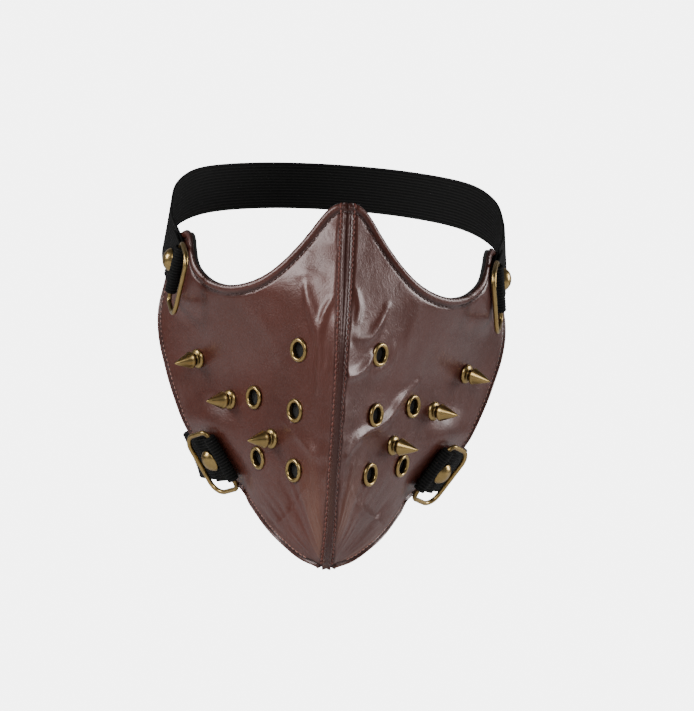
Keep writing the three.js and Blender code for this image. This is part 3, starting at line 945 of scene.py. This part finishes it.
def eyelet_profile():
    """Rolled brass rim with a barrel through the leather."""
    roll = [(4.75 + 1.02 * math.cos(a), 0.62 + 0.92 * math.sin(a))
            for a in np.radians(np.arange(-25, 201, 15))]
    barrel = [(3.82, 0.1), (3.8, -1.5), (4.3, -1.5), (4.3, 0.0)]
    return np.array([(5.6, 0.02), *roll, *barrel, (5.6, 0.02)])


def build_eyelet(side, number, place):
    profile = eyelet_profile()
    height = profile[:, 1]
    # Painted shade: darker low on the rolled rim and down the barrel.
    recess = np.clip((0.5 - height) / 1.2, 0, 1) * 1.1
    return build_turned(f"eyelet_rim_{side}_{number}", side, seat(place), profile, recess)


def spike_profile():
    """Base, neck, collar and cone of one spike."""
    return softened([(0, 0.1), (4.7, 0.1), (4.95, 0.45), (4.75, 1.15), (4.0, 1.75), (3.1, 2.0),
                     (2.7, 2.5), (2.65, 3.6), (3.5, 3.95), (4.25, 4.5), (4.3, 5.1), (3.75, 6.1),
                     (2.5, 9.4), (1.35, 12.2), (0.42, 14.15), (0, 14.4)], 0.35)


def build_spike(side, number, place):
    profile = spike_profile()
    radius, height = profile.T
    # Painted shade: darker in the neck and at the foot on the leather.
    neck = np.exp(-((height - 3.0) / 1.1) ** 2) * (radius < 4.2)
    foot = np.clip((0.7 - height) / 0.6, 0, 1)
    return build_turned(f"spike_cone_{side}_{number}", side, seat(place), profile,
                        neck + foot, 64)


def build_screw(side, number, place):
    head = BACK - 0.1
    profile = softened([(0, head + 0.5), (3.7, head + 0.4), (4.0, head - 0.1), (3.8, head - 0.8),
                        (2.4, head - 1.05), (0.9, head - 1.05), (0.85, head - 0.45),
                        (0, head - 0.45)], 0.2)
    return build_turned(f"spike_back_{side}_{number}", side, seat(place), profile,
                        np.full(len(profile), 0.3), 40)


def stud_profile():
    """Domed head on a neck."""
    return softened([(0, -2.0), (2.2, -2.0), (2.2, 4.6), (5.3, 4.6), (5.72, 4.9), (5.75, 5.3),
                     (5.45, 5.8), (4.9, 6.55), (4.1, 7.35), (3.0, 8.05), (1.6, 8.5), (0, 8.65)],
                    0.6)


def build_stud(side, clasp):
    profile = stud_profile()
    height = profile[:, 1]
    # Painted shade: darker under the dome's rim and down the neck.
    recess = np.clip((5.2 - height) / 0.8, 0, 1)
    base = seat(CLASPS[clasp], LEAN[clasp])
    return build_turned(f"{clasp}_dome_{side}", side, base, profile, recess, 64)


def build_rivet(side, clasp):
    head = BACK - 0.15
    profile = softened([(0, head + 0.4), (4.1, head + 0.3), (4.4, head - 0.2), (4.0, head - 0.8),
                        (2.0, head - 1.0), (0, head - 1.0)], 0.3)
    base = seat(CLASPS[clasp], LEAN[clasp])
    return build_turned(f"{clasp}_rivet_head_{side}", side, base, profile,
                        np.full(len(profile), 0.3), 40)


# ------------------------------------------------------------------ rings

RING = {"wire": 1.2, "length": 35, "depth": 20.9, "bar": 3.4, "free": 7}
RING_ANGLE = {"upper": 178, "lower": 12}
RING_SLIDE = 1
BAR_BACK = 10.6
STRAP = {"width": 25, "thick": 1.5, "above": 0.8, "layer_gap": 0.4, "tail": 8.5}
LOOP = 2.3
LOOP_STARTS = 55
TAIL_RISES_AT = -6.6
TAIL_RISE = 0.35
BAR_HEIGHT = STRAP["above"] + STRAP["thick"] / 2 + LOOP


def ring_line():
    """Middle of the ring's wire in its own plane: X away from the bar, Y along the bar."""
    half = RING["length"] / 2 - RING["wire"]
    depth = RING["depth"] - 2 * RING["wire"]
    bar, free = RING["bar"], RING["free"]
    arc = lambda x, y, r, a, b: [(x + r * math.cos(t), y + r * math.sin(t))
                                 for t in np.radians(np.linspace(a, b, 13))]
    line = [(0, y) for y in np.linspace(-half + bar, half - bar, 24)[1:-1]]
    line += arc(bar, half - bar, bar, 180, 90)
    line += arc(depth - free, half - free, free, 90, 0)
    line += arc(depth - free, -half + free, free, 0, -90)
    line += arc(bar, -half + bar, bar, -90, -180)
    return np.array(line)


def build_ring(side, clasp):
    line = ring_line()
    points, faces = tube(line, RING["wire"])
    turn = math.radians(RING_ANGLE[clasp])
    x, y, z = points.T
    turned = np.stack([x * math.cos(turn) - z * math.sin(turn) - BAR_BACK, y - RING_SLIDE,
                       x * math.sin(turn) + z * math.cos(turn) + BAR_HEIGHT], -1)
    # Painted shade: darker on the bar, which lies inside the strap's fold, and most in its middle.
    middle, inner_reach = (7, 0), 8
    inner = np.linalg.norm(points[:, :2] - middle, axis=1) < inner_reach
    near_bar = 1 - smoothstep(x, 0.5, 3.5)
    recess = near_bar * 0.55 + inner * 0.25
    base = seat(CLASPS[clasp], LEAN[clasp])
    return mesh_object(f"{clasp}_pull_ring_{side}", mirrored(seated(turned, base), side), faces,
                       finish_of("aged_brass"), {"recess": recess})


# ------------------------------------------------------------------ straps

ROUTES = {
    "upper": [(85.4, -4, -4.5), (86, 11, 3.5), (83, 36, 15), (70, 66, 25), (40, 89, 31),
              (0, 97, 33)],
    "lower": [(65.3, -7, -113.5), (66, 9, -113), (62, 34, -112), (49, 56, -111), (26, 71, -110),
              (0, 75, -110)],
}


def fold_line():
    """The upper layer, the fold round the bar and the lower layer, in a clasp's own axes."""
    lower = BAR_HEIGHT - LOOP
    upper = lower + STRAP["thick"] + STRAP["layer_gap"]
    tail = [(STRAP["tail"], upper), (4, upper), (0, upper), (-5, upper),
            (TAIL_RISES_AT, upper + TAIL_RISE)]
    fold = [(-BAR_BACK + LOOP * math.cos(a), BAR_HEIGHT + LOOP * math.sin(a))
            for a in np.radians(np.linspace(LOOP_STARTS, 270, 9))]
    flat = [(x, lower) for x in (-6, -2, 2, 6)]
    line = smooth_line(tail + fold + flat, 8)
    return np.stack([line[:, 0], 0 * line[:, 0], line[:, 1]], -1)


def strap_line(clasp):
    """Middle line and width directions of a strap, from its right fold to its left one."""
    base = seat(CLASPS[clasp], LEAN[clasp])
    width = base[1]
    fold = seated(fold_line(), base)
    start = fold[-1]
    straight, sections, turn_share = 4, 150, 0.3
    away = start + unit(fold[-1] - fold[-2]) * straight
    flip = np.array([-1, 1, 1])
    side = np.vstack([start, away, np.array(ROUTES[clasp][:-1], float)])
    route = smooth_line(np.vstack([side, ROUTES[clasp][-1:], side[::-1] * flip]), 16)
    share = np.linspace(0, 1, sections)[1:-1]
    middle = at_share(route, share)
    upright = smoothstep(np.minimum(share, 1 - share), 0, turn_share)[:, None]
    near = np.where((share < 0.5)[:, None], width, width * flip)
    widths = near * (1 - upright) + np.array([0, 0, 1]) * upright
    line = np.vstack([fold, middle, fold[::-1] * flip])
    ends = np.tile(width, (len(fold), 1))
    return line, np.vstack([ends, widths, ends * flip])


def strap_section(ribs):
    """Outline of ribbed elastic as (share of the width, share of the thickness), and rib height."""
    per_rib, rib_depth, end_width, end_height = 6, 0.34, 0.035, 0.35
    count = ribs * per_rib + 1
    across = np.linspace(-1, 1, count)
    rib = np.abs(np.cos(np.arange(count) / per_rib * np.pi))
    crown = 1 - rib_depth * rib ** 2
    past = ((np.abs(across) - 1 + end_width) / end_width).clip(0, 1)
    top = crown * (end_height + (1 - end_height) * np.sqrt(1 - past ** 2))
    outline = np.vstack([np.stack([across, -top], -1), np.stack([across[::-1], top[::-1]], -1)])
    height = np.concatenate([1 - rib, (1 - rib)[::-1]])
    return outline, height


def build_strap(clasp, props):
    """One elastic strap with both its folds."""
    line, widths = strap_line(clasp)
    ahead = unit(np.gradient(line, axis=0))
    across = unit(widths - np.sum(widths * ahead, 1, keepdims=True) * ahead)
    out = np.cross(ahead, across)
    outline, height = strap_section(props.ribs)
    points = (line[:, None] + across[:, None] * outline[None, :, :1] * STRAP["width"] / 2
              + out[:, None] * outline[None, :, 1:] * STRAP["thick"] / 2)
    rows, columns = points.shape[:2]
    faces = grid_faces(rows, columns, around=True)
    faces.append(tuple(range(columns)))
    faces.append(tuple(range((rows - 1) * columns, rows * columns))[::-1])
    # The rib attribute drives the elastic's painted shade in the grooves and light on the crests.
    return mesh_object(f"{clasp}_elastic", points.reshape(-1, 3), faces, finish_of("black_elastic"),
                       {"rib": np.tile(height, rows)})


# ------------------------------------------------------------------ stage

CAMERA = {"distance": 1300.0, "azimuth": 2.95, "aim": (8.5, 0.0, -58.3), "roll": 3.3,
          "focal": 132.7, "sensor": 36.0}
LIGHT_AIM = (0.0, -0.05, -0.07)
# Name, place, size and power of each light, in metres and watts.
LIGHTS = [("left_light", (-1.7, -0.24, 0.66), (0.6, 0.7), 24),
          ("right_light", (1.7, 0.3, 0.42), (0.5, 0.8), 20),
          ("front_light", (-0.3, -2.2, 1.0), (1.2, 1.0), 32)]
# How bright the paper and the sky look to the camera, and how much light the sky throws.
PAPER_GLOW = 5.2
SKY_GLOW = 5.46
SKY_LIGHT = 0.1


def stage_material():
    """Plain pale paper that looks bright and throws little light on the mask."""
    shader = Shader("backdrop")
    seen = shader.node("ShaderNodeLightPath", output="Is Camera Ray")
    shader.set(Base_Color=colour(0.80, 0.80, 0.81), Roughness=0.9, Specular_IOR_Level=0.1,
               Emission_Color=colour(1.0, 1.0, 1.0), Emission_Strength=seen * PAPER_GLOW)
    return shader.material


def build_backdrop():
    """Pale floor that curves up into a wall."""
    floor, wall, bend = -0.42, 2.6, 1.2
    front, top, half_width = -6.0, 5.0, 7.0
    profile = [(front, floor)]
    profile += [(wall - bend + bend * math.sin(a), floor + bend - bend * math.cos(a))
                for a in np.linspace(0, np.pi / 2, 24)]
    profile += [(wall, top)]
    points = [(x, y, z) for y, z in profile for x in (-half_width, half_width)]
    faces = [(i, i + 1, i + 3, i + 2) for i in range(0, len(points) - 2, 2)]
    floor_object = mesh_object("backdrop", np.array(points) / MM, faces, stage_material())


def build_light(name, place, size, power):
    """A soft rectangular light that faces the mask."""
    light = bpy.data.lights.new(name, "AREA")
    light.shape = "RECTANGLE"
    light.size, light.size_y = size
    light.energy = power
    obj = bpy.data.objects.new(name, light)
    bpy.context.scene.collection.objects.link(obj)
    point_at(obj, place, LIGHT_AIM)


def point_at(obj, place, aim, roll=0.0):
    """Puts an object at a place with its -Z axis towards another, both in metres."""
    back = unit(np.subtract(place, aim))
    right = unit(np.cross((0, 0, 1), back))
    up = np.cross(back, right)
    turn = math.radians(roll)
    rolled = right * math.cos(turn) + up * math.sin(turn)
    above = up * math.cos(turn) - right * math.sin(turn)
    matrix = np.eye(4)
    matrix[:3, 0], matrix[:3, 1], matrix[:3, 2], matrix[:3, 3] = rolled, above, back, place
    obj.matrix_world = Matrix(matrix.tolist())


def build_camera():
    azimuth = math.radians(CAMERA["azimuth"])
    aim = np.array(CAMERA["aim"]) * MM
    away = CAMERA["distance"] * MM
    place = aim - np.array([math.sin(azimuth), math.cos(azimuth), 0]) * away
    camera = bpy.data.cameras.new("camera")
    camera.sensor_fit = "HORIZONTAL"
    camera.sensor_width = CAMERA["sensor"]
    camera.lens = CAMERA["focal"]
    obj = bpy.data.objects.new("camera", camera)
    bpy.context.scene.collection.objects.link(obj)
    point_at(obj, place, aim, CAMERA["roll"])
    bpy.context.scene.camera = obj


def build_world():
    world = bpy.data.worlds.new("soft_sky")
    world.use_nodes = True
    graph = Graph(world.node_tree)
    background = world.node_tree.nodes["Background"]
    background.inputs["Color"].default_value = colour(0.93, 0.94, 0.96)
    seen = graph.node("ShaderNodeLightPath", output="Is Camera Ray")
    graph.feed(background.inputs["Strength"], seen * SKY_GLOW + SKY_LIGHT)
    bpy.context.scene.world = world


# ------------------------------------------------------------------ add-on


def tone(name, description, red, green, blue):
    """A colour that a user can change."""
    return bpy.props.FloatVectorProperty(
        name=name, description=description, subtype="COLOR", size=4, min=0, max=1,
        default=colour(red, green, blue))


class MaskProperties(bpy.types.PropertyGroup):
    """Settings of the mask's pieces."""

    leather_dark: tone("Dark leather", "Darker tone of the leather", 0.060, 0.0165, 0.0105)
    leather_light: tone("Light leather", "Lighter tone of the leather", 0.078, 0.0220, 0.0145)
    # Colour of the painted reflection streaks at the chin.
    leather_chin_reflection: tone("Chin reflection", "Tone of the streaks at the chin", 0.120, 0.047, 0.028)
    brass_dark: tone("Dark brass", "Darker tone of the metal", 0.26, 0.175, 0.066)
    brass_light: tone("Light brass", "Lighter tone of the metal", 0.42, 0.295, 0.120)
    stitch_length: bpy.props.FloatProperty(
        name="Stitch length", description="Length of the stitches beside the centre seam",
        default=0.0023, min=0.001, unit="LENGTH")
    thread_radius: bpy.props.FloatProperty(
        name="Thread radius", description="Radius of the thread beside the centre seam",
        default=0.00056, min=0.0001, unit="LENGTH")

    cells_out: bpy.props.IntProperty(
        name="Cells out", description="Cells of a panel from its seam outwards, between its hems",
        default=84, min=10)
    cells_up: bpy.props.IntProperty(
        name="Cells up", description="Cells of a panel from chin to brow, between its hems",
        default=128, min=10)
    ribs: bpy.props.IntProperty(
        name="Ribs", description="Ribs across the elastic", default=16, min=2)
    seed: bpy.props.IntProperty(
        name="Seed", description="Seed of the stitches' small differences", default=7)


class PieceOperator:
    """What every operator of a piece shares."""

    bl_options = {"REGISTER", "UNDO"}

    def fix(self, obj, slot, nodes=(), body=ROOT):
        """Rides a piece on its body, in place of its CAD nodes."""
        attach(obj, body)
        if nodes:
            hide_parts(*nodes)


class MASK_OT_panels(PieceOperator, bpy.types.Operator):
    """Builds the two leather panels"""

    bl_idname = "mask.panels"
    bl_label = "Leather panels"

    def execute(self, context):
        for side in SIDES:
            self.fix(build_panel(side, settings()), "leather", [f"leather_panel_{side}"])
        return {"FINISHED"}


class MASK_OT_linings(PieceOperator, bpy.types.Operator):
    """Builds the two fleece linings"""

    bl_idname = "mask.linings"
    bl_label = "Linings"

    def execute(self, context):
        for side in SIDES:
            lining = build_lining(side)
            self.fix(lining, "lining", [f"lining_{side}"])
        return {"FINISHED"}


class MASK_OT_stitching(PieceOperator, bpy.types.Operator):
    """Lays the stitches along the seam and the hems"""

    bl_idname = "mask.stitching"
    bl_label = "Stitching"

    def execute(self, context):
        for side in SIDES:
            for row in build_stitching(side, settings()):
                self.fix(row, "thread")
        return {"FINISHED"}


class MASK_OT_eyelets(PieceOperator, bpy.types.Operator):
    """Builds the eyelets"""

    bl_idname = "mask.eyelets"
    bl_label = "Eyelets"

    def execute(self, context):
        for side in SIDES:
            for number, place in enumerate(EYELETS, 1):
                self.fix(build_eyelet(side, number, place), "brass", [f"eyelet_{side}_{number}"])
        return {"FINISHED"}


class MASK_OT_spikes(PieceOperator, bpy.types.Operator):
    """Builds the cone spikes and the screws behind them"""

    bl_idname = "mask.spikes"
    bl_label = "Spikes"

    def execute(self, context):
        for side in SIDES:
            for number, place in enumerate(SPIKES, 1):
                self.fix(build_spike(side, number, place), "brass", [f"spike_{side}_{number}"])
                self.fix(build_screw(side, number, place), "brass",
                         [f"spike_screw_{side}_{number}"])
        return {"FINISHED"}


class MASK_OT_studs(PieceOperator, bpy.types.Operator):
    """Builds the domed studs and their rivets"""

    bl_idname = "mask.studs"
    bl_label = "Studs"

    def execute(self, context):
        for side in SIDES:
            for clasp in CLASPS:
                self.fix(build_stud(side, clasp), "brass", [f"{clasp}_stud_{side}"])
                self.fix(build_rivet(side, clasp), "brass", [f"{clasp}_stud_rivet_{side}"])
        return {"FINISHED"}


class MASK_OT_rings(PieceOperator, bpy.types.Operator):
    """Builds the four pull rings"""

    bl_idname = "mask.rings"
    bl_label = "Pull rings"

    def execute(self, context):
        for side in SIDES:
            for clasp in CLASPS:
                node = f"{clasp}_ring_{side}"
                self.fix(build_ring(side, clasp), "brass", [node], node)
        return {"FINISHED"}


class MASK_OT_straps(PieceOperator, bpy.types.Operator):
    """Builds the two elastic straps"""

    bl_idname = "mask.straps"
    bl_label = "Straps"

    def execute(self, context):
        for clasp in CLASPS:
            self.fix(build_strap(clasp, settings()), "elastic", [f"{clasp}_strap"])
        return {"FINISHED"}


class MASK_OT_stage(bpy.types.Operator):
    """Sets up the backdrop, the lights and the camera"""

    bl_idname = "mask.stage"
    bl_label = "Stage"

    def execute(self, context):
        build_backdrop()
        build_world()
        for light in LIGHTS:
            build_light(*light)
        build_camera()
        return {"FINISHED"}


STEPS = (MASK_OT_panels, MASK_OT_linings, MASK_OT_stitching, MASK_OT_eyelets, MASK_OT_spikes,
         MASK_OT_studs, MASK_OT_rings, MASK_OT_straps, MASK_OT_stage)


class MASK_PT_pieces(bpy.types.Panel):
    """Lists the mask's pieces"""

    bl_idname = "MASK_PT_pieces"
    bl_label = "Half-face mask"
    bl_space_type = "VIEW_3D"
    bl_region_type = "UI"
    bl_category = "Mask"

    def draw(self, context):
        for name in MaskProperties.__annotations__:
            self.layout.prop(settings(), name)
        for step in STEPS:
            self.layout.operator(step.bl_idname)


CLASSES = (MaskProperties, *STEPS, MASK_PT_pieces)


def register():
    for item in CLASSES:
        bpy.utils.register_class(item)
    bpy.types.Scene.mask_settings = bpy.props.PointerProperty(type=MaskProperties)


def unregister():
    del bpy.types.Scene.mask_settings
    for item in reversed(CLASSES):
        bpy.utils.unregister_class(item)


def main():
    """Builds every piece."""
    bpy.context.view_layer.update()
    register()
    for step in STEPS:
        module, name = step.bl_idname.split(".")
        getattr(getattr(bpy.ops, module), name)()


if __name__ == "__main__":
    main()
